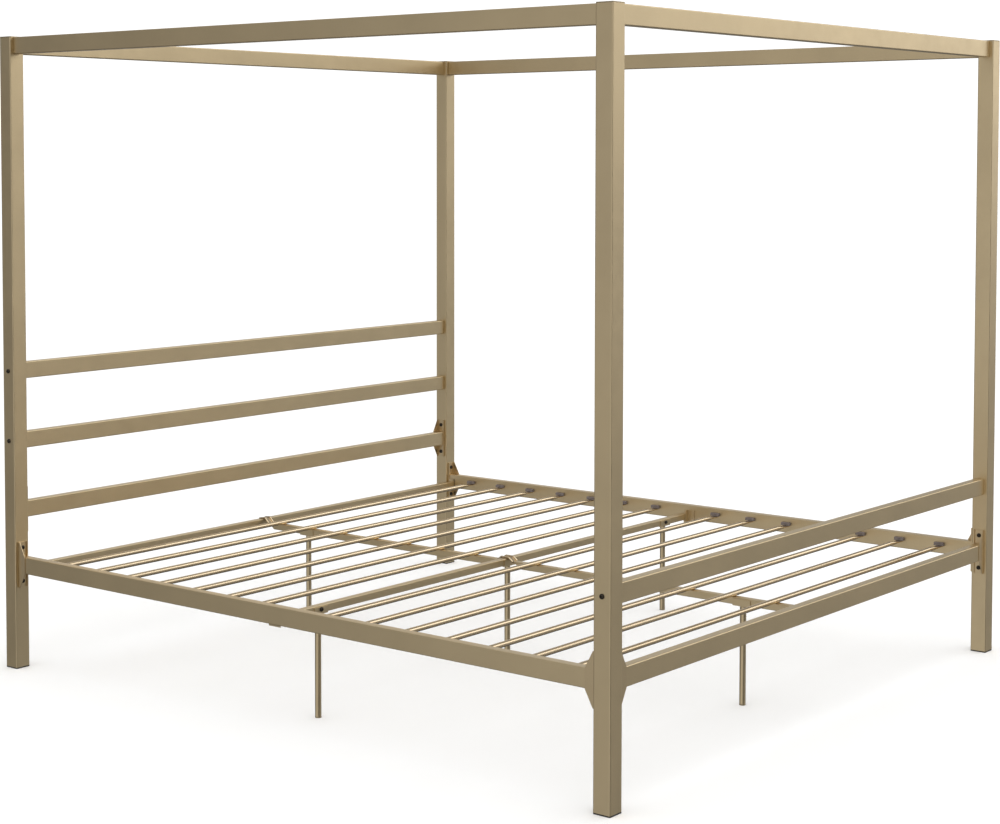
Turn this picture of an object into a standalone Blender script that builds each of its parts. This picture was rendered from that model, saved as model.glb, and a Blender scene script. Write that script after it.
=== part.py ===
"""Four poster canopy bed, king size: a bolted frame of steel tube with round cross slats.

Metres, +Z up. The origin is on the floor under the middle of the bed. +Y points to the
headboard and -Y to the foot. Left is -X and right is +X, as seen from the foot of the bed.
"""

import math

import bmesh
import bpy

# Overall size, over the outer faces of the posts.
BED_WIDTH = 1.980
BED_LENGTH = 2.108
BED_HEIGHT = 1.803

# Clearance kept between two pieces that touch.
GAP = 0.0003

# Posts: square tube with a plastic glide below and a plastic cap on top.
POST = 0.047
POST_WALL = 0.0012
POST_RADIUS = 0.0030
GLIDE_TALL = 0.003
CAP_TALL = 0.002
PLUG_TALL = 0.012

# Rails: upright rectangular tube, centred on the posts.
RAIL_THICK = 0.025
RAIL_TALL = 0.0475
RAIL_WALL = 0.0010
RAIL_RADIUS = 0.0025

# Heights of the rails' centre lines above the floor.
CANOPY_Z = BED_HEIGHT - CAP_TALL - RAIL_TALL / 2
HEADBOARD_Z = (0.4540, 0.6540, 0.8540)
FOOTBOARD_Z = 0.4930
BASE_RAIL_Z = 0.2998

# Bolts through the posts.
BOLT_HOLE = 0.0085
BOLT_FROM_RAIL = 0.0480

# Corner bracket: folded sheet that holds a rail's end and is bolted to the post.
BRACKET_SHEET = 0.0018
BRACKET_TALL = 0.130
CHEEK_DEPTH = 0.029
CHEEK_TIP_DEPTH = 0.007
LIP_DEPTH = 0.0065

# Slats: round tube, flattened at both ends.
SLAT_DIAMETER = 0.0143
SLAT_WALL = 0.0008
SLAT_Z = 0.2977
SLAT_PITCH = 0.1307
FIRST_SLAT_Y = 0.1154
SLATS_PER_HALF = 7
SLAT_TAB_WIDTH = 0.0203
SLAT_TAB_THICK = 0.0044
SLAT_TAB_LENGTH = 0.020
SLAT_TAPER_LENGTH = 0.045
SLAT_TAPER_STEPS = 3

# Support tubes under the slats.
BEAM = 0.020
BEAM_WALL = 0.0010
BEAM_RADIUS = 0.0018
CROSS_BEAM_TOP = 0.2970
CENTRE_BEAM_TOP = 0.2900
CENTRE_BEAM_END = 0.041
HEAD_SUPPORT_Y = 0.990
HEAD_SUPPORT_TOP = 0.3000
END_PLATE_TALL = 0.036

# Plates and straps that join the support tubes.
PLATE = 0.0020
STRAP = 0.0030
STRAP_WIDTH = 0.0165
STRAP_GRIP = 0.032
SEAT_BELOW_RAIL = 0.012
SEAT_TALL = 0.044
SEAT_WING = 0.035
SEAT_OVERLAP = 0.006
SEAT_DEPTH = 0.019
ANGLE_REACH = 0.030
ANGLE_TOP = 0.315

# Support legs: round tube under a saddle that holds the beam from below.
LEG_DIAMETER = 0.017
LEG_WALL = 0.0010
LEG_BOTTOM = 0.003
SADDLE_SHORT_END = 0.029
LEFT_SADDLE_SHORT_END = 0.025
SADDLE_LONG_END = 0.026
SADDLE_BELOW_TOP = 0.0035
LEFT_LEG_X = 0.807
RIGHT_LEG_X = 0.818
CENTRE_LEG_Y = 0.795

# Facets: sides of round tubes and steps in each rounded corner.
ROUND_SIDES = 12
HOLE_SIDES = 8
CORNER_STEPS = 3
SMOOTH_ANGLE = math.radians(35)

# Derived places.
POST_X = (BED_WIDTH - POST) / 2
POST_Y = (BED_LENGTH - POST) / 2
INNER_X = BED_WIDTH / 2 - POST
INNER_Y = BED_LENGTH / 2 - POST
RAIL_INNER_X = POST_X - RAIL_THICK / 2
RAIL_INNER_Y = POST_Y - RAIL_THICK / 2
POST_TOP = BED_HEIGHT - CAP_TALL

# Rotations that lay a tube along an axis with its height still upright.
ALONG = {
    "x": (math.radians(90), 0.0, math.radians(90)),
    "y": (math.radians(90), 0.0, math.radians(180)),
    "z": (0.0, 0.0, 0.0),
}

# Finishes: base colour, roughness, metallic.
FINISHES = {
    "gold_paint": ((0.31, 0.25, 0.15), 0.42, 0.75),
    "gold_tube": ((0.46, 0.38, 0.24), 0.30, 0.85),
    "bracket_paint": ((0.33, 0.26, 0.16), 0.40, 0.75),
    "cap_plastic": ((0.27, 0.22, 0.14), 0.50, 0.0),
    "glide_plastic": ((0.06, 0.055, 0.045), 0.55, 0.0),
}


def clear_scene():
    """Remove whatever objects the open file holds."""
    for item in list(bpy.data.objects):
        bpy.data.objects.remove(item, do_unlink=True)


def finish_for(name, finish):
    """A material of the piece's own, with the colour and gloss of one of the finishes."""
    colour, roughness, metallic = FINISHES[finish]
    material = bpy.data.materials.new(name)
    material.use_nodes = True
    shader = material.node_tree.nodes["Principled BSDF"]
    shader.inputs["Base Color"].default_value = (*colour, 1.0)
    shader.inputs["Roughness"].default_value = roughness
    shader.inputs["Metallic"].default_value = metallic
    return material


def rounded_rectangle(width, height, radius, steps=CORNER_STEPS):
    """Outline of a rectangle with round corners, counter-clockwise."""
    points = []
    for corner, (side_x, side_y) in enumerate(((1, 1), (-1, 1), (-1, -1), (1, -1))):
        centre_x = side_x * (width / 2 - radius)
        centre_y = side_y * (height / 2 - radius)
        for step in range(steps + 1):
            angle = math.radians(90) * (corner + step / steps)
            points.append((centre_x + radius * math.cos(angle),
                           centre_y + radius * math.sin(angle)))
    return points


def ellipse(width, height, sides=ROUND_SIDES):
    """Outline of an ellipse, counter-clockwise."""
    turns = [math.radians(360) * side / sides for side in range(sides)]
    return [(width / 2 * math.cos(turn), height / 2 * math.sin(turn)) for turn in turns]


def ring(outline, z, slope=0.0):
    """An outline lifted to a height, and tilted when its plane slopes along Y."""
    return [(x, y, z + slope * y) for x, y in outline]


def add_rings(mesh, rings, is_loop):
    """Skin a row of rings, either closed onto itself or capped at both ends."""
    rows = [[mesh.verts.new(point) for point in points] for points in rings]
    pairs = list(zip(rows, rows[1:]))
    if is_loop:
        pairs.append((rows[-1], rows[0]))
    else:
        mesh.faces.new(rows[0])
        mesh.faces.new(rows[-1])
    for lower, upper in pairs:
        for index, corner in enumerate(lower):
            after = (index + 1) % len(lower)
            mesh.faces.new((corner, lower[after], upper[after], upper[index]))


def mesh_of(name, rings, is_loop=False):
    """A closed mesh through rings, with its faces turned outwards and shaded smooth."""
    draft = bmesh.new()
    add_rings(draft, rings, is_loop)
    bmesh.ops.recalc_face_normals(draft, faces=draft.faces)
    mesh = bpy.data.meshes.new(name)
    draft.to_mesh(mesh)
    draft.free()
    mesh.shade_smooth()
    mesh.set_sharp_from_angle(angle=SMOOTH_ANGLE)
    return mesh


def tube_mesh(name, outer, inner, length, slopes=(0.0, 0.0)):
    """A straight open tube, centred on its origin and lying along its own Z.

    The two slopes tilt the cuts at its lower and upper ends.
    """
    low, high = (-length / 2, slopes[0]), (length / 2, slopes[1])
    rings = [ring(outer, *low), ring(outer, *high), ring(inner, *high), ring(inner, *low)]
    return mesh_of(name, rings, is_loop=True)


def prism_mesh(name, outline, length):
    """A solid bar with the given outline, centred on its origin along its own Z."""
    return mesh_of(name, [ring(outline, -length / 2), ring(outline, length / 2)])


def box_mesh(name, size):
    """A solid box, centred on its origin."""
    half_x, half_y = size[0] / 2, size[1] / 2
    outline = [(half_x, half_y), (-half_x, half_y), (-half_x, -half_y), (half_x, -half_y)]
    return prism_mesh(name, outline, size[2])


def place(name, mesh, finish, location=(0.0, 0.0, 0.0), rotation=ALONG["z"]):
    """Put one piece into the scene with a material of its own."""
    piece = bpy.data.objects.new(name, mesh)
    piece.location = location
    piece.rotation_euler = rotation
    bpy.context.scene.collection.objects.link(piece)
    piece.data.materials.clear()
    piece.data.materials.append(finish_for(name, finish))
    return piece


def helper(name, mesh, location, rotation=ALONG["z"]):
    """A construction solid: it shapes another piece and isn't a piece itself."""
    tool = bpy.data.objects.new(name, mesh)
    tool.location = location
    tool.rotation_euler = rotation
    tool.hide_render = True
    tool.display_type = "WIRE"
    bpy.context.scene.collection.objects.link(tool)
    return tool


def combine(piece, tool, operation):
    """Cut a construction solid out of a piece, or weld it on."""
    modifier = piece.modifiers.new(f"{operation.lower()}_{tool.name}", "BOOLEAN")
    modifier.operation = operation
    modifier.solver = "EXACT"
    modifier.object = tool


def drill(piece, holes, axis, length):
    """Drill bolt holes along X or Y, of a length centred on each world point."""
    for point in holes:
        name = f"{piece.name}.drill.{len(piece.modifiers)}"
        outline = ellipse(BOLT_HOLE, BOLT_HOLE, HOLE_SIDES)
        tool = helper(name, prism_mesh(name, outline, length), point, ALONG[axis])
        combine(piece, tool, "DIFFERENCE")


def weld_box(piece, label, size, location):
    """Weld a flat plate onto a piece."""
    name = f"{piece.name}.{label}"
    combine(piece, helper(name, box_mesh(name, size), location), "UNION")


def section(width, height, radius, wall, steps=CORNER_STEPS):
    """Outer and inner outlines of a rectangular tube."""
    outer = rounded_rectangle(width, height, radius, steps)
    inner = rounded_rectangle(width - 2 * wall, height - 2 * wall, radius - wall, steps)
    return outer, inner


def side_name(side_x):
    """Left is the -X side, right the +X side."""
    return "right" if side_x > 0 else "left"


def end_name(side_y):
    """The head is the +Y end, the foot the -Y end."""
    return "head" if side_y > 0 else "foot"


def build_post(side_x, side_y):
    """One corner post with its bolt holes, its glide and its cap."""
    corner = f"{end_name(side_y)}_{side_name(side_x)}"
    x, y = side_x * POST_X, side_y * POST_Y
    bottom = GLIDE_TALL + GAP
    top = POST_TOP - GAP
    outer, inner = section(POST, POST, POST_RADIUS, POST_WALL)
    mesh = tube_mesh(f"post_{corner}", outer, inner, top - bottom)
    post = place(f"post_{corner}", mesh, "gold_paint", (x, y, (top + bottom) / 2))

    # The side rail's bracket is on the post's inner Y face, the lowest cross rail's
    # bracket on its inner X face.
    bracket_z = HEADBOARD_Z[0] if side_y > 0 else BASE_RAIL_Z
    drill(post, [(x, side_y * INNER_Y, BASE_RAIL_Z + rise)
                 for rise in (-BOLT_FROM_RAIL, BOLT_FROM_RAIL)], "y", POST / 2)
    drill(post, [(side_x * INNER_X, y, bracket_z + rise)
                 for rise in (-BOLT_FROM_RAIL, BOLT_FROM_RAIL)], "x", POST / 2)

    # The upper cross rails are bolted from outside, through both walls.
    upper = HEADBOARD_Z[1:] if side_y > 0 else (FOOTBOARD_Z,)
    drill(post, [(x, y, z) for z in upper], "x", 2 * POST)

    plug_size = POST - 2 * POST_WALL - 2 * GAP
    flange = rounded_rectangle(POST, POST, POST_RADIUS)
    plug = rounded_rectangle(plug_size, plug_size, POST_RADIUS - POST_WALL)
    glide_rings = [ring(flange, 0.0), ring(flange, GLIDE_TALL), ring(plug, GLIDE_TALL),
                   ring(plug, GLIDE_TALL + PLUG_TALL)]
    place(f"post_glide_{corner}", mesh_of(f"post_glide_{corner}", glide_rings), "glide_plastic",
          (x, y, 0.0))
    cap_rings = [ring(flange, 0.0), ring(flange, -CAP_TALL), ring(plug, -CAP_TALL),
                 ring(plug, -CAP_TALL - PLUG_TALL)]
    place(f"post_cap_{corner}", mesh_of(f"post_cap_{corner}", cap_rings), "cap_plastic",
          (x, y, BED_HEIGHT))


def build_rail(name, axis, length, location):
    """One straight rail of rectangular tube."""
    outer, inner = section(RAIL_THICK, RAIL_TALL, RAIL_RADIUS, RAIL_WALL)
    return place(name, tube_mesh(name, outer, inner, length), "gold_paint", location,
                 ALONG[axis])


def bracket_mesh(name, cheek_side):
    """Back plate at X = 0, a straight lip, and a cheek that widens towards the rail.

    The cheek is on the +Y side when cheek_side is 1, on the -Y side when it is -1.
    """
    inner = RAIL_THICK / 2 + GAP
    outer = inner + BRACKET_SHEET
    levels = (
        (-BRACKET_TALL / 2, CHEEK_TIP_DEPTH),
        (-RAIL_TALL / 2, CHEEK_DEPTH),
        (RAIL_TALL / 2, CHEEK_DEPTH),
        (BRACKET_TALL / 2, CHEEK_TIP_DEPTH),
    )
    rings = []
    for z, depth in levels:
        outline = [(0.0, -outer), (LIP_DEPTH, -outer), (LIP_DEPTH, -inner),
                   (BRACKET_SHEET, -inner), (BRACKET_SHEET, inner), (depth, inner),
                   (depth, outer), (0.0, outer)]
        rings.append(ring([(x, y * cheek_side) for x, y in outline], z))
    return mesh_of(name, rings)


def build_bracket(name, face, rail_z, turn, outward):
    """One corner bracket on a post's face, opening along the direction of the turn.

    Its cheek is on the outer side of the bed, which outward points to in X and Y.
    """
    angle = math.radians(turn)
    away = (math.cos(angle), math.sin(angle))
    x, y = face[0] + away[0] * GAP, face[1] + away[1] * GAP
    cheek_side = 1 if away[0] * outward[1] - away[1] * outward[0] > 0 else -1
    bracket = place(name, bracket_mesh(name, cheek_side), "bracket_paint", (x, y, rail_z),
                    (0.0, 0.0, angle))
    axis = "x" if turn % 180 == 0 else "y"
    holes = [(x + away[0] * BRACKET_SHEET / 2, y + away[1] * BRACKET_SHEET / 2, rail_z + rise)
             for rise in (-BOLT_FROM_RAIL, BOLT_FROM_RAIL)]
    drill(bracket, holes, axis, LIP_DEPTH)


def build_canopy():
    """Four rails that join the tops of the posts."""
    across = 2 * (INNER_X - GAP)
    along = 2 * (INNER_Y - GAP)
    for side in (-1, 1):
        build_rail(f"canopy_rail_{end_name(side)}", "x", across,
                   (0.0, side * POST_Y, CANOPY_Z))
        build_rail(f"canopy_rail_{side_name(side)}", "y", along,
                   (side * POST_X, 0.0, CANOPY_Z))


def build_cross_rails():
    """Headboard and footboard rails, and the brackets of the two lowest ones."""
    bolted = 2 * (INNER_X - GAP)
    in_brackets = 2 * (INNER_X - 2 * GAP - BRACKET_SHEET)
    names = ("headboard_rail_low", "headboard_rail_middle", "headboard_rail_top")
    for name, z in zip(names, HEADBOARD_Z):
        length = in_brackets if z == HEADBOARD_Z[0] else bolted
        build_rail(name, "x", length, (0.0, POST_Y, z))
    build_rail("footboard_rail_top", "x", bolted, (0.0, -POST_Y, FOOTBOARD_Z))
    build_rail("footboard_rail_low", "x", in_brackets, (0.0, -POST_Y, BASE_RAIL_Z))
    for side_x in (-1, 1):
        turn = 180 if side_x > 0 else 0
        side = side_name(side_x)
        build_bracket(f"bracket_headboard_{side}", (side_x * INNER_X, POST_Y),
                      HEADBOARD_Z[0], turn, (0, 1))
        build_bracket(f"bracket_footboard_{side}", (side_x * INNER_X, -POST_Y),
                      BASE_RAIL_Z, turn, (0, -1))


def build_seat(side_x):
    """Welded seat inside a side rail, in which the cross beam's end rests."""
    name = f"beam_seat_{side_name(side_x)}"
    # The seat's cheek is on the head side at the left rail, on the foot side at the right.
    turned = -side_x
    back = RAIL_INNER_X - GAP
    bottom = BASE_RAIL_Z - RAIL_TALL / 2 - SEAT_BELOW_RAIL
    cheek_y = BEAM / 2 + GAP
    # Angle in plan: the wing lies on the rail and the cheek beside the beam.
    outline = [(0.0, -SEAT_OVERLAP), (0.0, SEAT_WING), (PLATE, SEAT_WING),
               (PLATE, cheek_y + PLATE), (SEAT_DEPTH, cheek_y + PLATE), (SEAT_DEPTH, cheek_y),
               (PLATE, cheek_y), (PLATE, -SEAT_OVERLAP)]
    seat = place(name, prism_mesh(name, outline, SEAT_TALL), "bracket_paint",
                 (-back * turned, 0.0, bottom + SEAT_TALL / 2),
                 (0.0, 0.0, 0.0 if turned > 0 else math.radians(180)))
    shelf_top = CROSS_BEAM_TOP - BEAM - GAP
    shelf_wide = BEAM / 2 + cheek_y + PLATE / 2
    weld_box(seat, "shelf", (SEAT_DEPTH - PLATE / 2, shelf_wide, PLATE),
             (-turned * (back - PLATE / 2 - (SEAT_DEPTH - PLATE / 2) / 2),
              turned * (cheek_y + PLATE / 2 - shelf_wide / 2), shelf_top - PLATE / 2))


def build_side_rails():
    """The two long rails, their corner brackets and the cross beam's seats."""
    length = 2 * (INNER_Y - 2 * GAP - BRACKET_SHEET)
    for side_x in (-1, 1):
        side = side_name(side_x)
        build_rail(f"side_rail_{side}", "y", length, (side_x * POST_X, 0.0, BASE_RAIL_Z))
        for side_y in (-1, 1):
            turn = -90 if side_y > 0 else 90
            build_bracket(f"bracket_side_{end_name(side_y)}_{side}",
                          (side_x * POST_X, side_y * INNER_Y), BASE_RAIL_Z, turn, (side_x, 0))
        build_seat(side_x)


def slat_mesh(name):
    """Round tube along X whose ends ease into flat tabs."""
    half = RAIL_INNER_X - GAP
    flat_end = half - SLAT_TAB_LENGTH
    stations = [(half, SLAT_TAB_WIDTH, SLAT_TAB_THICK)]
    for step in range(SLAT_TAPER_STEPS + 1):
        share = step / SLAT_TAPER_STEPS
        ease = share * share * (3 - 2 * share)
        stations.append((flat_end - SLAT_TAPER_LENGTH * share,
                         SLAT_TAB_WIDTH + (SLAT_DIAMETER - SLAT_TAB_WIDTH) * ease,
                         SLAT_TAB_THICK + (SLAT_DIAMETER - SLAT_TAB_THICK) * ease))
    run = [(-place_x, wide, tall) for place_x, wide, tall in stations]
    run += [(place_x, wide, tall) for place_x, wide, tall in reversed(stations)]
    outer = [ring(ellipse(wide, tall), z) for z, wide, tall in run]
    inner = [ring(ellipse(wide - 2 * SLAT_WALL, tall - 2 * SLAT_WALL), z)
             for z, wide, tall in reversed(run)]
    return mesh_of(name, outer + inner, is_loop=True)


def build_slats():
    """Seven slats in each half of the bed, numbered from the head."""
    places = [FIRST_SLAT_Y + SLAT_PITCH * step for step in range(SLATS_PER_HALF)]
    rows = sorted(places + [-y for y in places], reverse=True)
    for number, y in enumerate(rows, start=1):
        name = f"slat_{number:02d}"
        place(name, slat_mesh(name), "gold_tube", (0.0, y, SLAT_Z), ALONG["x"])


def build_beam(name, axis, length, location, slopes=(0.0, 0.0)):
    """One support beam of small square tube."""
    outer, inner = section(BEAM, BEAM, BEAM_RADIUS, BEAM_WALL, steps=2)
    return place(name, tube_mesh(name, outer, inner, length, slopes), "gold_paint", location,
                 ALONG[axis])


def strap_mesh(name, path):
    """Bent flat strap: a path in Y and Z, thick upwards, laid out for ALONG['x']."""
    outline = path + [(y, z + STRAP) for y, z in reversed(path)]
    return prism_mesh(name, outline, STRAP_WIDTH)


def build_supports():
    """Cross beam, two centre beams, the head support rail and what joins them."""
    build_beam("cross_beam", "x", 2 * (RAIL_INNER_X - 2 * GAP - PLATE),
               (0.0, 0.0, CROSS_BEAM_TOP - BEAM / 2))

    support_half = RAIL_INNER_X - 2 * GAP - BRACKET_SHEET
    support = build_beam("head_support_rail", "x", 2 * support_half - PLATE,
                         (0.0, HEAD_SUPPORT_Y, HEAD_SUPPORT_TOP - BEAM / 2))
    for side_x in (-1, 1):
        weld_box(support, f"end_plate_{side_name(side_x)}", (PLATE, BEAM, END_PLATE_TALL),
                 (side_x * (support_half - PLATE / 2), HEAD_SUPPORT_Y,
                  HEAD_SUPPORT_TOP - BEAM / 2))
    bolts = [(side_x * support_half, HEAD_SUPPORT_Y, HEAD_SUPPORT_TOP - BEAM / 2)
             for side_x in (-1, 1)]
    drill(support, bolts, "x", BEAM)

    centre_z = CENTRE_BEAM_TOP - BEAM / 2
    head_end = HEAD_SUPPORT_Y - CENTRE_BEAM_END
    foot_end = RAIL_INNER_Y - 2 * GAP - PLATE
    build_beam("centre_beam_head", "y", head_end - CENTRE_BEAM_END,
               (0.0, (head_end + CENTRE_BEAM_END) / 2, centre_z), slopes=(-1.0, 1.0))
    build_beam("centre_beam_foot", "y", foot_end - CENTRE_BEAM_END,
               (0.0, -(foot_end + CENTRE_BEAM_END) / 2, centre_z), slopes=(0.0, 1.0))

    # Each strap lies under the top wall inside the beam's mouth and rises out of it.
    in_beam = CENTRE_BEAM_TOP - BEAM_WALL - GAP - STRAP
    mouth = CENTRE_BEAM_END - BEAM / 2
    over_cross = CROSS_BEAM_TOP + GAP
    ridge = BEAM / 2 + PLATE + 2 * GAP
    half_path = [(mouth + STRAP_GRIP, in_beam), (mouth - STRAP, in_beam), (ridge, over_cross)]
    path = [(-y, z) for y, z in half_path] + list(reversed(half_path))
    place("centre_strap", strap_mesh("centre_strap", path), "bracket_paint",
          rotation=ALONG["x"])

    over_head = HEAD_SUPPORT_TOP + GAP
    path = [(HEAD_SUPPORT_Y - mouth - STRAP_GRIP, in_beam),
            (HEAD_SUPPORT_Y - mouth + STRAP, in_beam), (HEAD_SUPPORT_Y - ridge, over_head),
            (HEAD_SUPPORT_Y + BEAM / 2, over_head)]
    place("head_strap", strap_mesh("head_strap", path), "bracket_paint", rotation=ALONG["x"])

    # Angle that carries the foot end of the centre beam, on the lowest footboard rail.
    wall_y = -(RAIL_INNER_Y - GAP)
    shelf = CENTRE_BEAM_TOP - BEAM - GAP
    outline = [(wall_y, shelf - PLATE), (wall_y + ANGLE_REACH, shelf - PLATE),
               (wall_y + ANGLE_REACH, shelf), (wall_y + PLATE, shelf),
               (wall_y + PLATE, ANGLE_TOP), (wall_y, ANGLE_TOP)]
    place("foot_beam_angle", prism_mesh("foot_beam_angle", outline, ANGLE_REACH),
          "bracket_paint", rotation=ALONG["x"])


def build_leg(name, axis, location, beam_top, short_end=SADDLE_SHORT_END):
    """Round leg with a U-shaped saddle that holds the beam from below."""
    beam_bottom = beam_top - BEAM - GAP
    floor = beam_bottom - PLATE
    outer_half = BEAM / 2 + GAP + PLATE
    inner_half = BEAM / 2 + GAP
    rim = beam_top - SADDLE_BELOW_TOP
    profile = [(-outer_half, floor), (outer_half, floor), (outer_half, rim), (inner_half, rim),
               (inner_half, beam_bottom), (-inner_half, beam_bottom), (-inner_half, rim),
               (-outer_half, rim)]
    length = short_end + SADDLE_LONG_END
    shift = (SADDLE_LONG_END - short_end) / 2
    x, y = location
    offset = (shift, 0.0) if axis == "x" else (0.0, shift)
    saddle = place(name, prism_mesh(name, profile, length), "gold_paint",
                   (x + offset[0], y + offset[1], 0.0), ALONG[axis])
    tube_top = floor + PLATE / 2
    outer = ellipse(LEG_DIAMETER, LEG_DIAMETER)
    inner = ellipse(LEG_DIAMETER - 2 * LEG_WALL, LEG_DIAMETER - 2 * LEG_WALL)
    tube_name = f"{name}.tube"
    tube = helper(tube_name, tube_mesh(tube_name, outer, inner, tube_top - LEG_BOTTOM),
                  (x, y, (tube_top + LEG_BOTTOM) / 2))
    combine(saddle, tube, "UNION")


def build_legs():
    """Three legs under the cross beam and one under each centre beam."""
    build_leg("leg_left", "x", (-LEFT_LEG_X, 0.0), CROSS_BEAM_TOP, LEFT_SADDLE_SHORT_END)
    build_leg("leg_middle", "x", (0.0, 0.0), CROSS_BEAM_TOP)
    build_leg("leg_right", "x", (RIGHT_LEG_X, 0.0), CROSS_BEAM_TOP)
    build_leg("leg_head", "y", (0.0, CENTRE_LEG_Y), CENTRE_BEAM_TOP)
    build_leg("leg_foot", "y", (0.0, -CENTRE_LEG_Y), CENTRE_BEAM_TOP)


def main():
    """Build the whole bed."""
    clear_scene()
    for side_x in (-1, 1):
        for side_y in (-1, 1):
            build_post(side_x, side_y)
    build_canopy()
    build_cross_rails()
    build_side_rails()
    build_slats()
    build_supports()
    build_legs()


main()
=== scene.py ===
import math

import bmesh
import bpy
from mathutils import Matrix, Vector


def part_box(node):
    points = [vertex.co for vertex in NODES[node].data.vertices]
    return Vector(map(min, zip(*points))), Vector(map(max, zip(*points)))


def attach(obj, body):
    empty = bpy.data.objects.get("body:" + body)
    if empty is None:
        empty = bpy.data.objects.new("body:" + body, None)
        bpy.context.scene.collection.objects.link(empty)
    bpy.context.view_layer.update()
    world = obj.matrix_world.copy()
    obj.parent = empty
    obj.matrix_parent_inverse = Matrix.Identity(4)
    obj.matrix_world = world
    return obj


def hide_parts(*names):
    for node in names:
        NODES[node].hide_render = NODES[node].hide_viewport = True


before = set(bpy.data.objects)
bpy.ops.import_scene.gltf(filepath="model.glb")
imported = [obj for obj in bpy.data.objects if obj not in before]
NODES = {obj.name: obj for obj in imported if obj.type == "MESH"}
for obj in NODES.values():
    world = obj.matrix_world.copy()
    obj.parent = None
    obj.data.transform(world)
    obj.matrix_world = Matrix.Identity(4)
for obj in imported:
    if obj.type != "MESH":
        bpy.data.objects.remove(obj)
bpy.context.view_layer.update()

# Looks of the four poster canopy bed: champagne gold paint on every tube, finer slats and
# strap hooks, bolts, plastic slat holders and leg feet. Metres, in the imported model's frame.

BODY = "root"

# Camera: 1.5 m above the floor, off the foot's left corner and tilted a little down.
CAMERA_PLACE = (-4.6332, -3.5851, 1.4667)
CAMERA_HEADING = math.radians(50.664)
CAMERA_TILT = math.radians(-2.862)
CAMERA_LENS = 72.935
CAMERA_SENSOR = 36.0
CAMERA_SHIFT = (0.0488, -0.1550)

# Colours, linear.
GOLD = (0.72, 0.577, 0.357)
TUBE_GOLD = (0.76, 0.615, 0.415)
BRACKET_GOLD = (0.70, 0.555, 0.345)
CAP_GOLD = (0.52, 0.42, 0.27)
GLIDE_BLACK = (0.030, 0.027, 0.022)
BOLT_BLACK = (0.030, 0.024, 0.017)
HOLDER_GREY = (0.150, 0.122, 0.112)
FLOOR_PALE = (0.97, 0.97, 0.965)

# Edge rounding.
EDGE_SEGMENTS = 2
TUBE_EDGE = 0.0004
SHEET_EDGE = 0.0005
CAP_EDGE = 0.0008
EDGE_ANGLE = math.radians(50)
FACE_WEIGHT = 100
WELD_DISTANCE = 0.00001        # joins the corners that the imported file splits

# Slats.
SLAT_SIDES = 32
SLAT_WALL = 0.0008
SLAT_TAB_LENGTH = 0.020
SLAT_TAB_THICK = 0.0044
SLAT_TAB_SQUARENESS = 1.6
SLAT_TAPER_LENGTH = 0.045
SLAT_TAPER_STEPS = 8

# Floor.
FLOOR_RADIUS = 40.0
FLOOR_SIDES = 96

# Bolts: button heads with a hexagon socket, and their shank in the drilled hole.
BOLT_HEAD_RADIUS = 0.0063
BOLT_HEAD_TALL = 0.0042
BOLT_RIM = 0.0010
BOLT_SHANK_RADIUS = 0.0038
BOLT_SHANK_LENGTH = 0.012
BOLT_SOCKET = 0.0022
BOLT_SOCKET_DEEP = 0.0024
BOLT_SOCKET_LIP_DEEP = 0.0003
BOLT_SOCKET_LIP = BOLT_SOCKET * 1.06
BOLT_CROWN = BOLT_SOCKET * 1.35
BOLT_DOME_STEPS = 5
BOLT_SIDES = 24
BOLT_FROM_RAIL = 0.0480
BRACKET_SHEET = 0.0018

# Plastic slat holders, on the side rails' inner faces above the slat tabs.
HOLDER_WIDE = 0.0305
HOLDER_TALL = 0.0098
HOLDER_DEEP = 0.0085
HOLDER_LIFT = 0.0004
HOLDER_EDGE = 0.0006
HOLDER_FLAT = 0.80             # share of the front and of the top that isn't sloped
HOLDER_END = 0.0006            # length of each end over which its front draws in
HOLDER_END_INSET = 0.0002
HOLDER_FACING = 0.9            # least share of its normal that the front has along X
HOLDER_PANEL_MARGIN = 0.0018
HOLDER_PANEL_DEEP = 0.0007

# Strap hooks: pressed channels that tie the centre beams to the beams they meet.
HOOK_SHEET = 0.0014
HOOK_RIM = 0.0026
HOOK_RIM_INSIDE = 0.0014
HOOK_HALF = 0.0138
HOOK_HALF_INSIDE = 0.0080
HOOK_RIM_STEP = 30             # degrees between the points of a rim
HOOK_BEND = 0.0022
HOOK_BEND_STEPS = 5
HOOK_BEND_REACH = 0.45         # most of a side's length that a bend may take
HOOK_GRIP = 0.030              # length inside a centre beam
HOOK_FLARE = 0.0035            # length over which the hook widens outside the beam
HOOK_TAIL = 0.010              # drop behind the head support rail

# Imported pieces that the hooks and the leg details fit.
STRAP_THICK = 0.003
BEAM = 0.020
BEAM_MOUTH = 0.031             # from a crossing beam's middle to a centre beam's open end
GAP = 0.0003
PLATE = 0.0020

# Plastic feet under the legs: a flange on the floor, with a ribbed plug above it.
FOOT_SIDES = 32
FOOT_TALL = 0.0029
FOOT_RADIUS = 0.0086
FOOT_PROFILE = (               # share of the radius, height
    (0.72, 0.0), (0.93, 0.0), (0.99, 0.0004), (1.0, 0.0009),
    (1.0, FOOT_TALL - 0.0004), (0.97, FOOT_TALL),
)
PLUG_RADIUS = 0.0072
PLUG_TALL = 0.0100
PLUG_ROOT = PLUG_RADIUS * 0.94
PLUG_TIP = PLUG_RADIUS * 0.85
PLUG_RIBS = 3
PLUG_FIRST_RIB = 0.0012
PLUG_RIB_PITCH = 0.0028
PLUG_RIB_CREST = 0.0004
PLUG_RIB_END = 0.0016

# Legs: the weld between a tube and its saddle, and where the saddle's bolt sits.
WELD_RADIUS = 0.0011
WELD_RIPPLE = 0.0002
WELD_RIPPLES = 26
WELD_STEPS_PER_RIPPLE = 4
WELD_SIDES = 8
LEG_RADIUS = 0.0085
LEG_FOOT_ZONE = 0.01           # height below which a packed leg is only its tube
SADDLE_HALF = 0.0123

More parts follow.
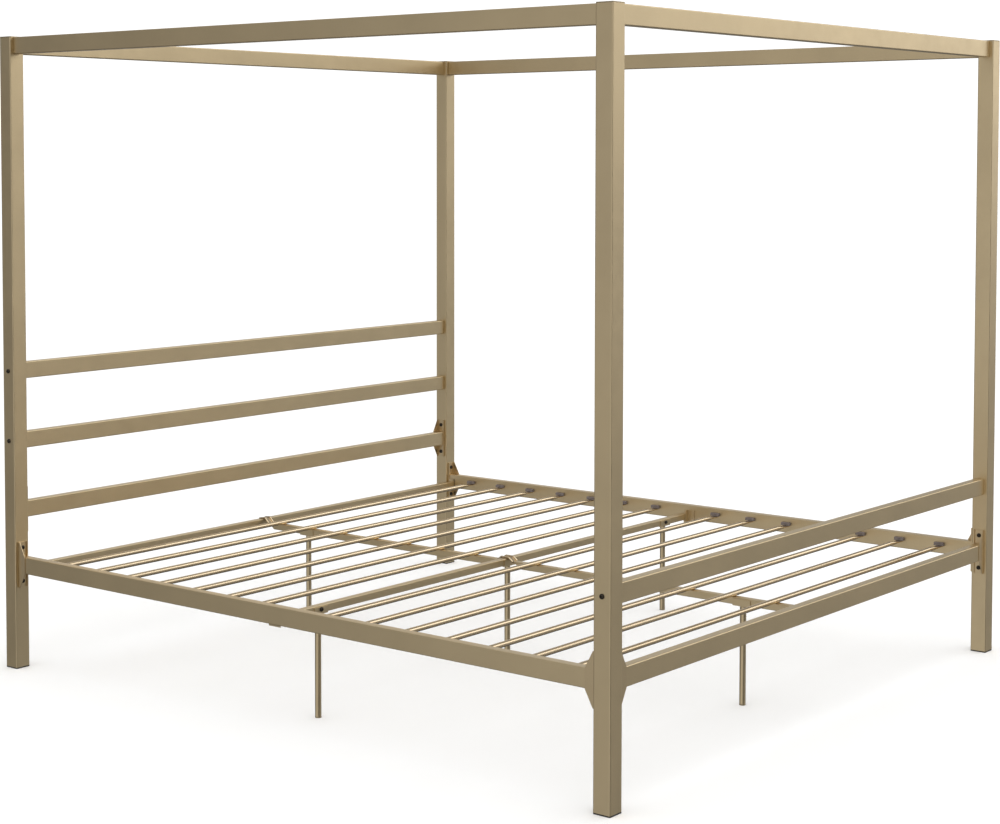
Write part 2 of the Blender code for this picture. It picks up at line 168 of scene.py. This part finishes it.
# Noise patterns: cells in a metre, and levels of detail.
TONE_DRIFT = (5.0, 3.0)
PAINT_GLOSS_DRIFT = (38.0, 3.0)
POWDER_GRAIN = (900.0, 2.0)
PLASTIC_DRIFT = (60.0, 3.0)
PLASTIC_GRAIN = (1400.0, 1.0)
STEEL_RUBS = (420.0, 4.0)
STEEL_GLOSS_DRIFT = (160.0, 2.0)
STEEL_GRAIN = (900.0, 2.0)
FLOOR_DRIFT = (3.0, 3.0)
NOISE_MIDDLE = (0.3, 0.7)

# Shades of each colour that its noise moves between, and the spread of its roughness.
PAINT_SHADES = (0.955, 1.035)
FLECK_DARK = (0.94, 0.94, 0.94)
WHITE = (1.0, 1.0, 1.0)
PLASTIC_SHADES = (0.85, 1.15)
STEEL_SHADES = (0.8, 1.7)
FLOOR_SHADES = (0.99, 1.0)
PAINT_GLOSS_SPREAD = 0.03
PLASTIC_GLOSS_SPREAD = 0.05
STEEL_GLOSS = (0.32, 0.48)
STEEL_METALLIC = 0.6
FLOOR_ROUGHNESS = 0.9

# Bumps: strength, distance.
PAINT_BUMP = (0.12, 0.00005)
PLASTIC_BUMP = (0.25, 0.0001)
STEEL_BUMP = (0.2, 0.00005)

# Sockets of a colour mix node: its factor, its two colours and its result.
MIX_FACTOR, MIX_FIRST, MIX_SECOND, MIX_RESULT = 0, 6, 7, 2

# Studio seen by the paint: (azimuth, elevation), full within, gone at, strength.
STUDIO_WALLS = (
    ((0, 90), 10, 75, 0.42),       # overhead
    ((-88, -2), 0, 64, 0.57),      # wall on the left side
    ((55, -4), 10, 50, 0.18),      # floor's return on the right
    ((160, 15), 10, 55, 0.18),     # wall behind the headboard
    ((132, 11), 6, 32, 0.36),      # light panel behind the head's right corner
)
STUDIO_SOFTBOXES = (
    ((68, 16), 6, 22, 1.40),       # off the foot's right corner
    ((22, 19), 7, 26, 1.60),       # off the foot
    ((55, 28), 5, 16, 1.90),       # above and between the two
    ((0, 62), 16, 40, 1.60),       # high over the foot
)
STUDIO_BASE = 0.11
AMBIENT = 1.15

# Area lights: name, azimuth, elevation, distance, size, power in watts.
LIGHTS = (
    ("key_softbox", 58, 32, 6.0, (4.0, 2.6), 16.0),
    ("overhead_softbox", -30, 78, 4.5, (3.5, 3.5), 12.0),
)
LIGHT_AIM = (0.0, 0.0, 0.8)


def box_of(node):
    """Lowest corner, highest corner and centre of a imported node."""
    low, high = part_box(node)
    return low, high, (low + high) / 2


def nodes_named(start):
    """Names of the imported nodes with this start, in order."""
    return sorted(name for name in NODES if name.startswith(start))


# Meshes


def mesh_from_rings(name, rings, looped=False):
    """Skin a row of rings of points into a closed mesh, faces outwards and shaded smooth."""
    draft = bmesh.new()
    rows = [[draft.verts.new(point) for point in points] for points in rings]
    pairs = list(zip(rows, rows[1:]))
    if looped:
        pairs.append((rows[-1], rows[0]))
    else:
        draft.faces.new(rows[0])
        draft.faces.new(rows[-1])
    for lower, upper in pairs:
        for index, corner in enumerate(lower):
            after = (index + 1) % len(lower)
            draft.faces.new((corner, lower[after], upper[after], upper[index]))
    bmesh.ops.recalc_face_normals(draft, faces=draft.faces)
    mesh = bpy.data.meshes.new(name)
    draft.to_mesh(mesh)
    draft.free()
    mesh.shade_smooth()
    mesh.set_sharp_from_angle(angle=EDGE_ANGLE)
    return mesh


def add_piece(name, mesh, material, place=(0.0, 0.0, 0.0), rotation=(0.0, 0.0, 0.0)):
    """Put one new piece on the bed, in a finish from the record."""
    piece = bpy.data.objects.new(name, mesh)
    piece.location = place
    piece.rotation_euler = rotation
    bpy.context.scene.collection.objects.link(piece)
    if not mesh.materials:
        mesh.materials.append(material)
    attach(piece, BODY)
    return piece


def round_edges(piece, width):
    """Soften the sharp edges of a piece with a small bevel."""
    bevel = piece.modifiers.new("edge", "BEVEL")
    bevel.width = width
    bevel.segments = EDGE_SEGMENTS
    bevel.limit_method = "ANGLE"
    bevel.angle_limit = EDGE_ANGLE
    flatten = piece.modifiers.new("flat_faces", "WEIGHTED_NORMAL")
    flatten.mode = "FACE_AREA"
    flatten.weight = FACE_WEIGHT
    flatten.keep_sharp = True


# Materials


def principled(name):
    """A new node material, with its node tree and its shader."""
    material = bpy.data.materials.new(name)
    material.use_nodes = True
    tree = material.node_tree
    return material, tree, tree.nodes["Principled BSDF"]


def noise(tree, scale, detail):
    """Noise in the piece's own metres: scale is the number of cells in a metre."""
    where = tree.nodes.new("ShaderNodeTexCoord")
    texture = tree.nodes.new("ShaderNodeTexNoise")
    texture.inputs["Scale"].default_value = scale
    texture.inputs["Detail"].default_value = detail
    tree.links.new(where.outputs["Object"], texture.inputs["Vector"])
    return texture.outputs["Fac"]


def spread(tree, value, low, high):
    """Map the middle of a noise's range to the range from low to high."""
    ranged = tree.nodes.new("ShaderNodeMapRange")
    ranged.inputs["From Min"].default_value = NOISE_MIDDLE[0]
    ranged.inputs["From Max"].default_value = NOISE_MIDDLE[1]
    ranged.inputs["To Min"].default_value = low
    ranged.inputs["To Max"].default_value = high
    tree.links.new(value, ranged.inputs["Value"])
    return ranged.outputs["Result"]


def blend_colours(tree, value, first, second):
    """Two colours, mixed by a value."""
    mix = tree.nodes.new("ShaderNodeMix")
    mix.data_type = "RGBA"
    mix.inputs[MIX_FIRST].default_value = (*first, 1.0)
    mix.inputs[MIX_SECOND].default_value = (*second, 1.0)
    tree.links.new(value, mix.inputs[MIX_FACTOR])
    return mix.outputs[MIX_RESULT]


def add_bump(tree, shader, height, strength, distance):
    """Bump the shader's normal by a height."""
    bump = tree.nodes.new("ShaderNodeBump")
    bump.inputs["Strength"].default_value = strength
    bump.inputs["Distance"].default_value = distance
    tree.links.new(height, bump.inputs["Height"])
    tree.links.new(bump.outputs["Normal"], shader.inputs["Normal"])


def shade_of(colour, factor):
    """A lighter or darker shade of a colour."""
    return tuple(min(1.0, channel * factor) for channel in colour)


def drifting_tone(tree, pattern, colour, shades):
    """A colour that a noise pattern moves between two shades."""
    low, high = shades
    value = spread(tree, noise(tree, *pattern), 0.0, 1.0)
    return blend_colours(tree, value, shade_of(colour, low), shade_of(colour, high))


def satin_metal(name, colour, roughness):
    """Baked metallic paint: a fine powder grain and a slow drift of tone and gloss."""
    material, tree, shader = principled(name)
    tone = drifting_tone(tree, TONE_DRIFT, colour, PAINT_SHADES)
    grain = noise(tree, *POWDER_GRAIN)
    flecks = blend_colours(tree, spread(tree, grain, 0.0, 1.0), FLECK_DARK, WHITE)
    flecked = tree.nodes.new("ShaderNodeMix")
    flecked.data_type = "RGBA"
    flecked.blend_type = "MULTIPLY"
    flecked.inputs[MIX_FACTOR].default_value = 1.0
    tree.links.new(tone, flecked.inputs[MIX_FIRST])
    tree.links.new(flecks, flecked.inputs[MIX_SECOND])
    tree.links.new(flecked.outputs[MIX_RESULT], shader.inputs["Base Color"])
    gloss = spread(tree, noise(tree, *PAINT_GLOSS_DRIFT),
                   roughness - PAINT_GLOSS_SPREAD, roughness + PAINT_GLOSS_SPREAD)
    tree.links.new(gloss, shader.inputs["Roughness"])
    shader.inputs["Metallic"].default_value = 1.0
    add_bump(tree, shader, grain, *PAINT_BUMP)
    return material


def moulded_plastic(name, colour, roughness):
    """Moulded plastic with a spark-eroded grain."""
    material, tree, shader = principled(name)
    tone = drifting_tone(tree, PLASTIC_DRIFT, colour, PLASTIC_SHADES)
    tree.links.new(tone, shader.inputs["Base Color"])
    grain = noise(tree, *PLASTIC_GRAIN)
    gloss = spread(tree, grain, roughness - PLASTIC_GLOSS_SPREAD,
                   roughness + PLASTIC_GLOSS_SPREAD)
    tree.links.new(gloss, shader.inputs["Roughness"])
    shader.inputs["Metallic"].default_value = 0.0
    add_bump(tree, shader, grain, *PLASTIC_BUMP)
    return material


def black_steel(name, colour):
    """Blackened steel with an oily unevenness, a little brighter where it is rubbed."""
    material, tree, shader = principled(name)
    tone = drifting_tone(tree, STEEL_RUBS, colour, STEEL_SHADES)
    tree.links.new(tone, shader.inputs["Base Color"])
    gloss = spread(tree, noise(tree, *STEEL_GLOSS_DRIFT), *STEEL_GLOSS)
    tree.links.new(gloss, shader.inputs["Roughness"])
    shader.inputs["Metallic"].default_value = STEEL_METALLIC
    add_bump(tree, shader, noise(tree, *STEEL_GRAIN), *STEEL_BUMP)
    return material


# One finish for each material slot of the record.
FINISHES = {
    "gold_paint": satin_metal("gold_paint_satin", GOLD, 0.36),
    "gold_tube": satin_metal("gold_tube_satin", TUBE_GOLD, 0.24),
    "bracket_paint": satin_metal("bracket_paint_satin", BRACKET_GOLD, 0.38),
    "cap_plastic": satin_metal("cap_painted", CAP_GOLD, 0.42),
    "glide_plastic": moulded_plastic("glide_moulded", GLIDE_BLACK, 0.55),
    "bolt_black": black_steel("bolt_blackened", BOLT_BLACK),
    "holder_plastic": moulded_plastic("holder_moulded", HOLDER_GREY, 0.5),
}


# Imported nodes


def dress_nodes():
    """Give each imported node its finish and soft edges."""
    for name, node in NODES.items():
        slot = node.material_slots[0].material.name.split(".")[0]
        node.material_slots[0].material = FINISHES[slot]
        weld = node.modifiers.new("weld", "WELD")
        weld.merge_threshold = WELD_DISTANCE
        node.data.shade_smooth()
        if name.startswith(("post_cap", "post_glide")):
            round_edges(node, CAP_EDGE)
        elif name.startswith(("bracket", "beam_seat")):
            round_edges(node, SHEET_EDGE)
        else:
            round_edges(node, TUBE_EDGE)


# Slats


def flattened_ring(width, height, squareness, x):
    """Ring round the X axis, from a circle towards a flat oval as squareness rises."""
    points = []
    power = 2.0 / (2.0 + squareness)
    for side in range(SLAT_SIDES):
        turn = math.radians(360) * side / SLAT_SIDES
        across, up = math.cos(turn), math.sin(turn)
        points.append((x, math.copysign(abs(across) ** power, across) * width / 2,
                       math.copysign(abs(up) ** power, up) * height / 2))
    return points


def slat_mesh(half, diameter, tab_width):
    """Round tube along X whose ends ease into flat tabs."""
    stations = [(half, tab_width, SLAT_TAB_THICK, SLAT_TAB_SQUARENESS),
                (half - SLAT_TAB_LENGTH, tab_width, SLAT_TAB_THICK, SLAT_TAB_SQUARENESS)]
    for step in range(1, SLAT_TAPER_STEPS + 1):
        share = step / SLAT_TAPER_STEPS
        ease = share * share * (3 - 2 * share)
        stations.append((half - SLAT_TAB_LENGTH - SLAT_TAPER_LENGTH * share,
                         tab_width + (diameter - tab_width) * ease,
                         SLAT_TAB_THICK + (diameter - SLAT_TAB_THICK) * ease,
                         SLAT_TAB_SQUARENESS * (1 - ease)))
    run = [(-x, *size) for x, *size in stations]
    run += [(x, *size) for x, *size in reversed(stations)]
    outer = [flattened_ring(wide, tall, square, x) for x, wide, tall, square in run]
    inner = [flattened_ring(wide - 2 * SLAT_WALL, tall - 2 * SLAT_WALL, square, x)
             for x, wide, tall, square in reversed(run)]
    return mesh_from_rings("slat", outer + inner, looped=True)


def add_slats():
    """A finer tube in the place of each packed slat."""
    names = nodes_named("slat_")
    low, high, _ = box_of(names[0])
    mesh = slat_mesh((high.x - low.x) / 2, high.z - low.z, high.y - low.y)
    for name in names:
        centre = box_of(name)[2]
        piece = add_piece(f"{name}_tube", mesh, FINISHES["gold_tube"], centre)
        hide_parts(name)


# Slat holders


def holder_mesh():
    """Plastic block along Y: flat at the back, its top front edge sloped, a panel sunk in."""
    outline = [(0.0, 0.0), (HOLDER_DEEP, 0.0), (HOLDER_DEEP, HOLDER_TALL * HOLDER_FLAT),
               (HOLDER_DEEP * HOLDER_FLAT, HOLDER_TALL), (0.0, HOLDER_TALL)]
    half = HOLDER_WIDE / 2
    stations = [(-half, HOLDER_END_INSET), (-half + HOLDER_END, 0.0),
                (half - HOLDER_END, 0.0), (half, HOLDER_END_INSET)]
    rings = [[(x - inset if x else x, y, z) for x, z in outline] for y, inset in stations]
    draft = bmesh.new()
    base = mesh_from_rings("slat_holder", rings)
    draft.from_mesh(base)
    front = [face for face in draft.faces if face.normal.x > HOLDER_FACING
             and face.calc_area() > HOLDER_WIDE * HOLDER_TALL / 2]
    bmesh.ops.inset_region(draft, faces=front, thickness=HOLDER_PANEL_MARGIN,
                           depth=-HOLDER_PANEL_DEEP)
    draft.to_mesh(base)
    draft.free()
    base.set_sharp_from_angle(angle=EDGE_ANGLE)
    return base


def add_holders():
    """One holder above each slat's tab, on the inner faces of both side rails."""
    mesh = holder_mesh()
    left_wall, right_wall = box_of("side_rail_left")[1].x, box_of("side_rail_right")[0].x
    for name in nodes_named("slat_"):
        centre = box_of(name)[2]
        bottom = centre.z + SLAT_TAB_THICK / 2 + HOLDER_LIFT
        for label, x, turn in (("left", left_wall + HOLDER_LIFT, 0.0),
                               ("right", right_wall - HOLDER_LIFT, math.pi)):
            piece = add_piece(f"holder_{name}_{label}", mesh, FINISHES["holder_plastic"],
                              (x, centre.y, bottom), (0.0, 0.0, turn))
            round_edges(piece, HOLDER_EDGE)


# Bolts


def bolt_ring(radius, height, is_hexagon=False):
    """Ring about Z, round or hexagonal: radius is the hexagon's half width over its flats."""
    points = []
    for side in range(BOLT_SIDES):
        turn = math.radians(360) * side / BOLT_SIDES
        reach = radius
        if is_hexagon:
            reach = radius / math.cos((turn % math.radians(60)) - math.radians(30))
        points.append((reach * math.cos(turn), reach * math.sin(turn), height))
    return points


def bolt_mesh():
    """Button-head bolt along +Z: shank below Z = 0, domed head above, hexagon socket."""
    rings = [bolt_ring(BOLT_SHANK_RADIUS, -BOLT_SHANK_LENGTH),
             bolt_ring(BOLT_SHANK_RADIUS, 0.0),
             bolt_ring(BOLT_HEAD_RADIUS, 0.0),
             bolt_ring(BOLT_HEAD_RADIUS, BOLT_RIM)]
    dome = BOLT_HEAD_TALL - BOLT_RIM
    for step in range(1, BOLT_DOME_STEPS + 1):
        turn = math.radians(90) * step / BOLT_DOME_STEPS
        rings.append(bolt_ring(BOLT_CROWN + (BOLT_HEAD_RADIUS - BOLT_CROWN) * math.cos(turn),
                               BOLT_RIM + dome * math.sin(turn)))
    for radius, deep in ((BOLT_SOCKET_LIP, 0.0), (BOLT_SOCKET, BOLT_SOCKET_LIP_DEEP),
                         (BOLT_SOCKET, BOLT_SOCKET_DEEP)):
        rings.append(bolt_ring(radius, BOLT_HEAD_TALL - deep, is_hexagon=True))
    return mesh_from_rings("bolt", rings)


def add_bolt(mesh, name, place, outward):
    """One bolt whose head sits on a face and points outward."""
    rotation = Vector(outward).to_track_quat("Z", "Y").to_euler()
    add_piece(name, mesh, FINISHES["bolt_black"], place, rotation)


def add_bracket_bolts(mesh):
    """One bolt above and one below the rail in each bracket, into the post behind it."""
    for name in nodes_named("bracket_"):
        low, high, centre = box_of(name)
        right, head = math.copysign(1, centre.x), math.copysign(1, centre.y)
        for label, rise in (("lower", -BOLT_FROM_RAIL), ("upper", BOLT_FROM_RAIL)):
            height = centre.z + rise
            if name.startswith("bracket_side"):
                post = box_of("post_head_left" if centre.x < 0 else "post_head_right")[2]
                face = (high.y if centre.y > 0 else low.y) - head * BRACKET_SHEET
                place, outward = (post.x, face, height), (0, -head, 0)
            else:
                post = box_of("post_head_left" if centre.y > 0 else "post_foot_left")[2]
                face = (high.x if centre.x > 0 else low.x) - right * BRACKET_SHEET
                place, outward = (face, post.y, height), (-right, 0, 0)
            add_bolt(mesh, f"bolt_{name}_{label}", place, outward)


def add_post_bolts(mesh):
    """Bolts through the posts' outer faces into the rails that have no bracket."""
    for rail, end in (("headboard_rail_top", "head"), ("headboard_rail_middle", "head"),
                      ("footboard_rail_top", "foot")):
        height = box_of(rail)[2].z
        for label, side in (("left", -1), ("right", 1)):
            low, high, centre = box_of(f"post_{end}_{label}")
            face = low.x if side < 0 else high.x
            add_bolt(mesh, f"bolt_{rail}_{label}", (face, centre.y, height), (side, 0, 0))


# Strap hooks


def bent_path(corners):
    """Round the inner corners of a path whose corners are (y, z, half width, rim radius)."""
    points = [corners[0]]
    for before, corner, after in zip(corners, corners[1:], corners[2:]):
        here = Vector(corner[:2])
        back, ahead = Vector(before[:2]) - here, Vector(after[:2]) - here
        reach = min(HOOK_BEND, back.length * HOOK_BEND_REACH, ahead.length * HOOK_BEND_REACH)
        start, end = here + back.normalized() * reach, here + ahead.normalized() * reach
        for step in range(HOOK_BEND_STEPS + 1):
            share = step / HOOK_BEND_STEPS
            spot = (start * (1 - share) ** 2 + here * 2 * share * (1 - share)
                    + end * share ** 2)
            points.append((spot.x, spot.y, corner[2], corner[3]))
    points.append(corners[-1])
    return points


def hook_outline(half, rim):
    """Across a hook: a thin web between two rolled rims, as (across, up)."""
    turns = [math.radians(angle) for angle in range(270, -1, -HOOK_RIM_STEP)]
    left = [(rim - half + rim * math.cos(turn), rim + rim * math.sin(turn)) for turn in turns]
    left.append((2 * rim - half, HOOK_SHEET))
    return left + [(-across, up) for across, up in reversed(left)]


def hook_mesh(name, corners):
    """Pressed strap with rolled rims, along a path in Y and Z that is its underside."""
    path = bent_path(corners)
    rings = []
    for index, (y, z, half, rim) in enumerate(path):
        before, after = path[max(index - 1, 0)], path[min(index + 1, len(path) - 1)]
        along = Vector((after[0] - before[0], after[1] - before[1])).normalized()
        rings.append([(across, y - along.y * up, z + along.x * up)
                      for across, up in hook_outline(half, rim)])
    return mesh_from_rings(name, rings)


def hook_slope(from_y, turn, in_beam, over):
    """Corners from inside a centre beam's mouth up to the top of the beam it meets."""
    inside, outside = (HOOK_HALF_INSIDE, HOOK_RIM_INSIDE), (HOOK_HALF, HOOK_RIM)
    return [(from_y + turn * (BEAM_MOUTH + HOOK_GRIP), in_beam, *inside),
            (from_y + turn * BEAM_MOUTH, in_beam, *inside),
            (from_y + turn * (BEAM_MOUTH - HOOK_FLARE), in_beam, *outside),
            (from_y + turn * (BEAM / 2 + PLATE + 2 * GAP), over, *outside),
            (from_y + turn * (BEAM / 2 - PLATE), over, *outside)]


def add_hooks():
    """The double hook over the cross beam and the single one over the head support rail."""
    for node, name in (("centre_strap", "centre_hook"), ("head_strap", "head_hook")):
        low, high, centre = box_of(node)
        in_beam, over = low.z, high.z - STRAP_THICK
        if node == "centre_strap":
            corners = hook_slope(centre.y, -1, in_beam, over)
            corners += hook_slope(centre.y, 1, in_beam, over)[::-1]
        else:
            corners = hook_slope(high.y - BEAM / 2, -1, in_beam, over)
            behind = high.y + GAP
            corners += [(behind, over, HOOK_HALF, HOOK_RIM_INSIDE),
                        (behind, over - HOOK_TAIL, HOOK_HALF, HOOK_RIM_INSIDE)]
        piece = add_piece(name, hook_mesh(name, corners), FINISHES["gold_tube"])
        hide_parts(node)


# Legs


def middle_of(values):
    """Halfway between the lowest and the highest of some values."""
    return (min(values) + max(values)) / 2


def leg_axis(name):
    """The middle of a leg's tube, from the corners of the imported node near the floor."""
    corners = [vertex.co for vertex in NODES[name].data.vertices
               if vertex.co.z < LEG_FOOT_ZONE]
    return (middle_of([corner.x for corner in corners]),
            middle_of([corner.y for corner in corners]))


def foot_ring(radius, height):
    """Round ring about Z."""
    turns = [math.radians(360) * side / FOOT_SIDES for side in range(FOOT_SIDES)]
    return [(radius * math.cos(turn), radius * math.sin(turn), height) for turn in turns]


def foot_mesh():
    """Ribbed plug with a rounded flange that the leg stands on."""
    rings = [foot_ring(FOOT_RADIUS * share, height) for share, height in FOOT_PROFILE]
    rings.append(foot_ring(PLUG_ROOT, FOOT_TALL))
    for rib in range(PLUG_RIBS):
        low = FOOT_TALL + PLUG_FIRST_RIB + rib * PLUG_RIB_PITCH
        rings.append(foot_ring(PLUG_ROOT, low))
        rings.append(foot_ring(PLUG_RADIUS, low + PLUG_RIB_CREST))
        rings.append(foot_ring(PLUG_ROOT, low + PLUG_RIB_END))
    rings.append(foot_ring(PLUG_TIP, FOOT_TALL + PLUG_TALL))
    return mesh_from_rings("leg_foot", rings)


def weld_mesh():
    """Rippled bead round the top of a leg's tube."""
    steps = WELD_RIPPLES * WELD_STEPS_PER_RIPPLE
    rings = []
    for side in range(steps):
        turn = math.radians(360) * side / steps
        bead = WELD_RADIUS + WELD_RIPPLE * math.sin(turn * WELD_RIPPLES)
        ring = []
        for step in range(WELD_SIDES):
            roll = math.radians(360) * step / WELD_SIDES
            reach = LEG_RADIUS + bead * math.cos(roll)
            ring.append((reach * math.cos(turn), reach * math.sin(turn),
                         bead * math.sin(roll)))
        rings.append(ring)
    return mesh_from_rings("leg_weld", rings, looped=True)


def add_leg_details(bolt):
    """Foot, weld and saddle bolt of each leg."""
    foot, weld = foot_mesh(), weld_mesh()
    for name in nodes_named("leg_"):
        x, y = leg_axis(name)
        on_cross = name in ("leg_left", "leg_middle", "leg_right")
        low, _, centre = box_of("cross_beam" if on_cross else "centre_beam_head")
        under, middle = low.z - GAP - PLATE, centre.z
        add_piece(f"{name}_foot", foot, FINISHES["cap_plastic"], (x, y, 0.0))
        add_piece(f"{name}_weld", weld, FINISHES["gold_paint"], (x, y, under))
        if name == "leg_middle":
            place, outward = (x, y + SADDLE_HALF, middle), (0, 1, 0)
        elif on_cross:
            place, outward = (x, y - SADDLE_HALF, middle), (0, -1, 0)
        else:
            place, outward = (x + SADDLE_HALF, y, middle), (1, 0, 0)
        add_bolt(bolt, f"bolt_{name}", place, outward)


# Stage, lights, camera


def add_floor():
    """Plain pale floor that isn't seen in the paint's reflections."""
    draft = bmesh.new()
    turns = [math.radians(360) * side / FLOOR_SIDES for side in range(FLOOR_SIDES)]
    draft.faces.new([draft.verts.new((FLOOR_RADIUS * math.cos(turn),
                                      FLOOR_RADIUS * math.sin(turn), 0.0))
                     for turn in turns])
    mesh = bpy.data.meshes.new("floor")
    draft.to_mesh(mesh)
    draft.free()
    material, tree, shader = principled("floor_pale")
    tone = drifting_tone(tree, FLOOR_DRIFT, FLOOR_PALE, FLOOR_SHADES)
    tree.links.new(tone, shader.inputs["Base Color"])
    shader.inputs["Roughness"].default_value = FLOOR_ROUGHNESS
    shader.inputs["Specular IOR Level"].default_value = 0.0
    mesh.materials.append(material)
    floor = bpy.data.objects.new("floor", mesh)
    floor.visible_glossy = False
    bpy.context.scene.collection.objects.link(floor)


def direction(azimuth, elevation):
    """Unit vector: azimuth 0 points to the foot end (-Y) and 90 to the right side (+X)."""
    turn, rise = math.radians(azimuth), math.radians(elevation)
    return (math.sin(turn) * math.cos(rise), -math.cos(turn) * math.cos(rise), math.sin(rise))


def add_lobe(tree, where, centre, inner, outer, strength):
    """A soft round patch of light in the sky, full inside one angle and gone at another."""
    dot = tree.nodes.new("ShaderNodeVectorMath")
    dot.operation = "DOT_PRODUCT"
    dot.inputs[1].default_value = direction(*centre)
    tree.links.new(where, dot.inputs[0])
    patch = tree.nodes.new("ShaderNodeMapRange")
    patch.interpolation_type = "SMOOTHSTEP"
    patch.inputs["From Min"].default_value = math.cos(math.radians(outer))
    patch.inputs["From Max"].default_value = math.cos(math.radians(inner))
    patch.inputs["To Min"].default_value = 0.0
    patch.inputs["To Max"].default_value = strength
    tree.links.new(dot.outputs["Value"], patch.inputs["Value"])
    return patch.outputs["Result"]


def combine(tree, operation, first, second):
    """Two values put together; the second may be a plain number."""
    node = tree.nodes.new("ShaderNodeMath")
    node.operation = operation
    tree.links.new(first, node.inputs[0])
    if isinstance(second, float):
        node.inputs[1].default_value = second
    else:
        tree.links.new(second, node.inputs[1])
    return node.outputs["Value"]


def add_world():
    """White surroundings for eye and floor, a graded studio for glossy reflections."""
    world = bpy.data.worlds.new("studio")
    world.use_nodes = True
    tree = world.node_tree
    tree.nodes.clear()
    where = tree.nodes.new("ShaderNodeTexCoord").outputs["Generated"]
    brightest = 0.0
    for lobe in STUDIO_SOFTBOXES:
        brightest = combine(tree, "MAXIMUM", add_lobe(tree, where, *lobe), brightest)
    total = combine(tree, "ADD", brightest, STUDIO_BASE)
    for lobe in STUDIO_WALLS:
        total = combine(tree, "ADD", total, add_lobe(tree, where, *lobe))
    studio = tree.nodes.new("ShaderNodeBackground")
    tree.links.new(total, studio.inputs["Strength"])
    white = tree.nodes.new("ShaderNodeBackground")
    white.inputs["Strength"].default_value = AMBIENT
    for background in (studio, white):
        background.inputs["Color"].default_value = (*WHITE, 1.0)
    rays = tree.nodes.new("ShaderNodeLightPath")
    choice = tree.nodes.new("ShaderNodeMixShader")
    output = tree.nodes.new("ShaderNodeOutputWorld")
    tree.links.new(rays.outputs["Is Glossy Ray"], choice.inputs[0])
    tree.links.new(white.outputs[0], choice.inputs[1])
    tree.links.new(studio.outputs[0], choice.inputs[2])
    tree.links.new(choice.outputs[0], output.inputs["Surface"])
    world.cycles.sampling_method = "NONE"
    bpy.context.scene.world = world


def add_light(name, azimuth, elevation, distance, size, power):
    """Soft area light that faces the middle of the bed."""
    light = bpy.data.lights.new(name, "AREA")
    light.shape = "RECTANGLE"
    light.size, light.size_y = size
    light.energy = power
    lamp = bpy.data.objects.new(name, light)
    toward = Vector(direction(azimuth, elevation))
    lamp.location = Vector(LIGHT_AIM) + toward * distance
    lamp.rotation_euler = toward.to_track_quat("Z", "Y").to_euler()
    lamp.visible_glossy = False
    bpy.context.scene.collection.objects.link(lamp)


def add_camera():
    """Camera that looks at the bed over the foot's left corner, as in the photo."""
    data = bpy.data.cameras.new("camera")
    data.sensor_width = CAMERA_SENSOR
    data.lens = CAMERA_LENS
    data.shift_x, data.shift_y = CAMERA_SHIFT
    camera = bpy.data.objects.new("camera", data)
    camera.location = CAMERA_PLACE
    camera.rotation_euler = (math.radians(90) + CAMERA_TILT, 0.0, -CAMERA_HEADING)
    bpy.context.scene.collection.objects.link(camera)
    bpy.context.scene.camera = camera


dress_nodes()
add_slats()
add_holders()
BOLT = bolt_mesh()
add_bracket_bolts(BOLT)
add_post_bolts(BOLT)
add_hooks()
add_leg_details(BOLT)
add_floor()
add_world()
for light_row in LIGHTS:
    add_light(*light_row)
add_camera()
bpy.context.scene.view_settings.view_transform = "Standard"
